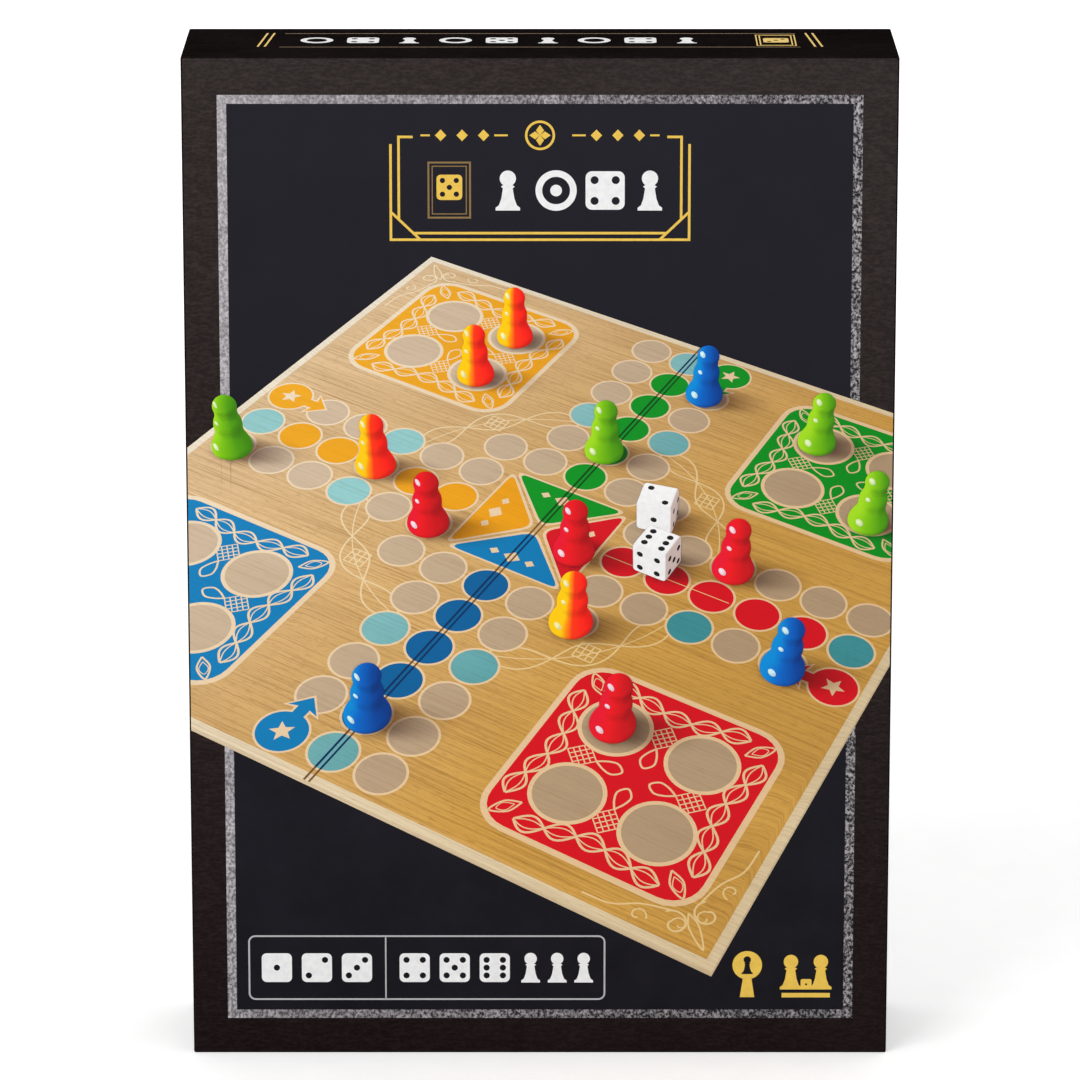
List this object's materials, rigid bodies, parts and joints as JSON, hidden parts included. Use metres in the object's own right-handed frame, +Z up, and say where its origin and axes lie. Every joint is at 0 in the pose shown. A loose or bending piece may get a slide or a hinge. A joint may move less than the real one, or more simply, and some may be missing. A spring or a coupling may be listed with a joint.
{
  "type": "folding ludo board box",
  "caption": "Rigid ludo game box with a lift-off lid, a folding board, a rules leaflet and a tray of pawns and dice, standing on its bottom edge.",
  "frame": {"origin": "middle of the narrow face that the closed box stands on", "axes": "+X across the cover to the viewer's right, +Y from the cover to the back, +Z up"},
  "size_m": [0.267, 0.064, 0.389],
  "materials": {
    "cover_paper": "printed, satin laminate",
    "base_paper": "plain dark, satin",
    "greyboard": "bare dense grey board",
    "card": "bare card",
    "tray_plastic": "thermoformed",
    "board_print": "printed, satin",
    "board_backing": "embossed dark paper",
    "leaflet_paper": "uncoated",
    "pawn_red": "moulded, glossy",
    "pawn_yellow": "moulded, glossy",
    "pawn_green": "moulded, glossy",
    "pawn_blue": "moulded, glossy",
    "die_plastic": "moulded, sunk dark pips"
  },
  "bodies": {
    "base": {"base_carton": "greyboard", "base_wrap": "base_paper", "insert_platform": "card", "piece_tray": "tray_plastic"},
    "lid": {"lid_carton": "greyboard", "lid_wrap": "cover_paper"},
    "board_back": {"board_back_core": "greyboard", "board_back_face": "board_print", "board_back_backing": "board_backing", "board_hinge_strip": "board_print"},
    "board_front": {"board_front_core": "greyboard", "board_front_face": "board_print", "board_front_backing": "board_backing"},
    "leaflet": {"rules_leaflet": "leaflet_paper"},
    "red_1": {"pawn_red_1": "pawn_red"},
    "red_2": {"pawn_red_2": "pawn_red"},
    "red_3": {"pawn_red_3": "pawn_red"},
    "red_4": {"pawn_red_4": "pawn_red"},
    "yellow_1": {"pawn_yellow_1": "pawn_yellow"},
    "yellow_2": {"pawn_yellow_2": "pawn_yellow"},
    "yellow_3": {"pawn_yellow_3": "pawn_yellow"},
    "yellow_4": {"pawn_yellow_4": "pawn_yellow"},
    "green_1": {"pawn_green_1": "pawn_green"},
    "green_2": {"pawn_green_2": "pawn_green"},
    "green_3": {"pawn_green_3": "pawn_green"},
    "green_4": {"pawn_green_4": "pawn_green"},
    "blue_1": {"pawn_blue_1": "pawn_blue"},
    "blue_2": {"pawn_blue_2": "pawn_blue"},
    "blue_3": {"pawn_blue_3": "pawn_blue"},
    "blue_4": {"pawn_blue_4": "pawn_blue"},
    "first_die": {"die_1": "die_plastic"},
    "second_die": {"die_2": "die_plastic"}
  },
  "joints": [
    {"name": "lid_lift", "type": "slide", "parent": "base", "child": "lid", "axis": [0, -1, 0], "range_m": [0, 0.64]},
    {"name": "board_lift", "type": "slide", "parent": "base", "child": "board_back", "axis": [0, -1, 0], "range_m": [0, 0.1]},
    {"name": "board_unfold", "type": "hinge", "parent": "board_back", "child": "board_front", "pos_m": [0.1273, -0.02565, 0.1686], "axis": [0, 0, 1], "range_deg": [0, 180]},
    {"name": "leaflet_lift", "type": "slide", "parent": "base", "child": "leaflet", "axis": [0, -1, 0], "range_m": [0, 0.05]},
    {"name": "red_1_lift", "type": "slide", "parent": "base", "child": "red_1", "axis": [0, -1, 0], "range_m": [0, 0.06]},
    {"name": "red_2_lift", "type": "slide", "parent": "base", "child": "red_2", "axis": [0, -1, 0], "range_m": [0, 0.06]},
    {"name": "red_3_lift", "type": "slide", "parent": "base", "child": "red_3", "axis": [0, -1, 0], "range_m": [0, 0.06]},
    {"name": "red_4_lift", "type": "slide", "parent": "base", "child": "red_4", "axis": [0, -1, 0], "range_m": [0, 0.06]},
    {"name": "yellow_1_lift", "type": "slide", "parent": "base", "child": "yellow_1", "axis": [0, -1, 0], "range_m": [0, 0.06]},
    {"name": "yellow_2_lift", "type": "slide", "parent": "base", "child": "yellow_2", "axis": [0, -1, 0], "range_m": [0, 0.06]},
    {"name": "yellow_3_lift", "type": "slide", "parent": "base", "child": "yellow_3", "axis": [0, -1, 0], "range_m": [0, 0.06]},
    {"name": "yellow_4_lift", "type": "slide", "parent": "base", "child": "yellow_4", "axis": [0, -1, 0], "range_m": [0, 0.06]},
    {"name": "green_1_lift", "type": "slide", "parent": "base", "child": "green_1", "axis": [0, -1, 0], "range_m": [0, 0.06]},
    {"name": "green_2_lift", "type": "slide", "parent": "base", "child": "green_2", "axis": [0, -1, 0], "range_m": [0, 0.06]},
    {"name": "green_3_lift", "type": "slide", "parent": "base", "child": "green_3", "axis": [0, -1, 0], "range_m": [0, 0.06]},
    {"name": "green_4_lift", "type": "slide", "parent": "base", "child": "green_4", "axis": [0, -1, 0], "range_m": [0, 0.06]},
    {"name": "blue_1_lift", "type": "slide", "parent": "base", "child": "blue_1", "axis": [0, -1, 0], "range_m": [0, 0.06]},
    {"name": "blue_2_lift", "type": "slide", "parent": "base", "child": "blue_2", "axis": [0, -1, 0], "range_m": [0, 0.06]},
    {"name": "blue_3_lift", "type": "slide", "parent": "base", "child": "blue_3", "axis": [0, -1, 0], "range_m": [0, 0.06]},
    {"name": "blue_4_lift", "type": "slide", "parent": "base", "child": "blue_4", "axis": [0, -1, 0], "range_m": [0, 0.06]},
    {"name": "first_die_lift", "type": "slide", "parent": "base", "child": "first_die", "axis": [0, -1, 0], "range_m": [0, 0.06]},
    {"name": "second_die_lift", "type": "slide", "parent": "base", "child": "second_die", "axis": [0, -1, 0], "range_m": [0, 0.06]}
  ],
  "couplings": [
    {"joint": "board_lift", "follows": "lid_lift", "ratio": 0.156},
    {"joint": "board_unfold", "follows": "lid_lift", "rad_per_m": 4.9087},
    {"joint": "leaflet_lift", "follows": "lid_lift", "ratio": 0.078},
    {"joint": "red_1_lift", "follows": "lid_lift", "ratio": 0.0937},
    {"joint": "red_2_lift", "follows": "lid_lift", "ratio": 0.0937},
    {"joint": "red_3_lift", "follows": "lid_lift", "ratio": 0.0937},
    {"joint": "red_4_lift", "follows": "lid_lift", "ratio": 0.0937},
    {"joint": "yellow_1_lift", "follows": "lid_lift", "ratio": 0.0937},
    {"joint": "yellow_2_lift", "follows": "lid_lift", "ratio": 0.0937},
    {"joint": "yellow_3_lift", "follows": "lid_lift", "ratio": 0.0937},
    {"joint": "yellow_4_lift", "follows": "lid_lift", "ratio": 0.0937},
    {"joint": "green_1_lift", "follows": "lid_lift", "ratio": 0.0937},
    {"joint": "green_2_lift", "follows": "lid_lift", "ratio": 0.0937},
    {"joint": "green_3_lift", "follows": "lid_lift", "ratio": 0.0937},
    {"joint": "green_4_lift", "follows": "lid_lift", "ratio": 0.0937},
    {"joint": "blue_1_lift", "follows": "lid_lift", "ratio": 0.0937},
    {"joint": "blue_2_lift", "follows": "lid_lift", "ratio": 0.0937},
    {"joint": "blue_3_lift", "follows": "lid_lift", "ratio": 0.0937},
    {"joint": "blue_4_lift", "follows": "lid_lift", "ratio": 0.0937},
    {"joint": "first_die_lift", "follows": "lid_lift", "ratio": 0.0937},
    {"joint": "second_die_lift", "follows": "lid_lift", "ratio": 0.0937}
  ]
}
